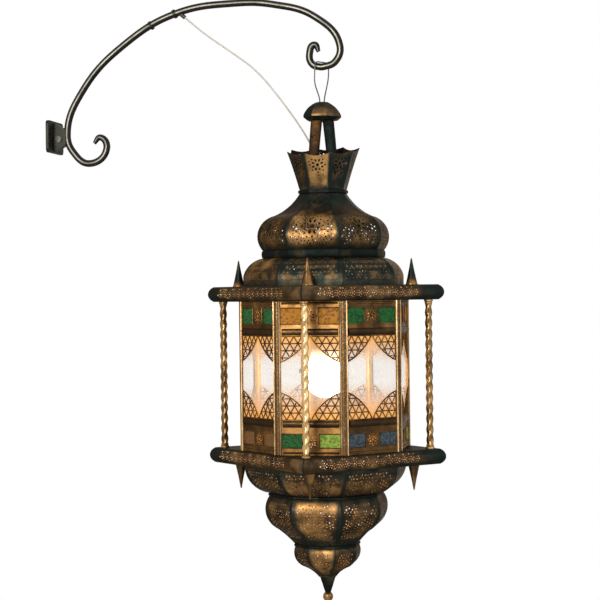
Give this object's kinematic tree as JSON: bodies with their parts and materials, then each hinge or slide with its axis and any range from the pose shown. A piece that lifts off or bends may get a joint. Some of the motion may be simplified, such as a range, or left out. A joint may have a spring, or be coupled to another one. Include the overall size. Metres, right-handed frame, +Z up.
{
  "type": "hanging lantern on wall bracket",
  "caption": "Eight-sided pierced brass lantern with coloured glass, square galleries and domes, hung by a wire loop from a scrolled iron wall bracket; rear glazed door opens to the lamp.",
  "frame": {"origin": "middle of the wall plate's back face", "axes": "+X away from the wall along the bracket, +Z up, -Y towards the side seen in the picture"},
  "size_m": [0.5641, 0.3362, 0.848],
  "materials": {
    "aged_brass": "aged, dark in the recesses",
    "bright_brass": "worn bright",
    "dark_brass": "black-green patina",
    "forged_iron": "dark, hammered",
    "steel": "plain",
    "clear_glass": "clear sheet",
    "green_glass": "hammered, green",
    "amber_glass": "hammered, amber",
    "lime_glass": "hammered, yellow-green",
    "blue_glass": "hammered, blue-grey",
    "bulb_glass": "frosted, lit",
    "cord_cover": "pale grey",
    "black_plastic": "moulded"
  },
  "bodies": {
    "bracket": {"wall_plate": "forged_iron", "bracket_boss": "forged_iron", "clamp_screw": "steel", "scroll_bar": "forged_iron", "bar_bands": "forged_iron", "cord_grommet": "black_plastic", "supply_cord": "cord_cover"},
    "lantern": {"hanging_wire": "steel", "handle_cap": "aged_brass", "handle_pin": "steel", "handle_bail": "aged_brass", "crown": "aged_brass", "neck_collar": "dark_brass", "upper_dome": "aged_brass", "dome_collar": "dark_brass", "skirt": "aged_brass", "upper_gallery_rim": "dark_brass", "upper_gallery_deck": "dark_brass", "upper_gallery_soffit": "dark_brass", "lower_gallery_rim": "dark_brass", "lower_gallery_deck": "dark_brass", "lower_gallery_soffit": "dark_brass", "upper_spikes": "dark_brass", "lower_spikes": "aged_brass", "columns": "bright_brass", "corner_posts": "bright_brass", "clear_panes": "clear_glass", "green_tiles": "green_glass", "amber_tiles": "amber_glass", "lime_tiles": "lime_glass", "blue_tiles": "blue_glass", "post_knuckles": "bright_brass", "hinge_pins": "steel", "latch_rivet": "bright_brass", "cord_gland": "black_plastic", "inner_lead": "cord_cover", "lamp_bridge": "dark_brass", "lamp_holder": "black_plastic", "bulb_cap": "steel", "bulb_glass": "bulb_glass", "upper_bowl": "aged_brass", "upper_bowl_collar": "dark_brass", "middle_bowl": "aged_brass", "lower_bowl_collar": "dark_brass", "lower_bowl": "aged_brass", "finial_cone": "aged_brass", "finial_ball": "bright_brass", "fret_panel_a": "aged_brass", "fret_panel_b": "aged_brass", "fret_panel_c": "aged_brass", "fret_panel_d": "aged_brass", "fret_panel_e": "aged_brass", "fret_panel_f": "aged_brass", "fret_panel_h": "aged_brass"},
    "door": {"door_fret": "aged_brass", "door_pane": "clear_glass", "door_tiles": "green_glass", "door_knuckles": "bright_brass", "latch_stud": "bright_brass"},
    "latch": {"latch_hook": "bright_brass"}
  },
  "joints": [
    {"name": "lantern_swing", "type": "hinge", "parent": "bracket", "child": "lantern", "pos_m": [0.396, 0, 0.0875], "axis": [1, 0, 0], "range_deg": [-25, 25], "deforming": ["supply_cord"]},
    {"name": "door_hinge", "type": "hinge", "parent": "lantern", "child": "door", "pos_m": [0.28272, 0.04964, -0.343], "axis": [0, 0, 1], "range_deg": [0, 110]},
    {"name": "latch_turn", "type": "hinge", "parent": "lantern", "child": "latch", "pos_m": [0.34577, 0.11174, -0.343], "axis": [-0.7071, 0.7071, 0], "range_deg": [0, 100]}
  ]
}
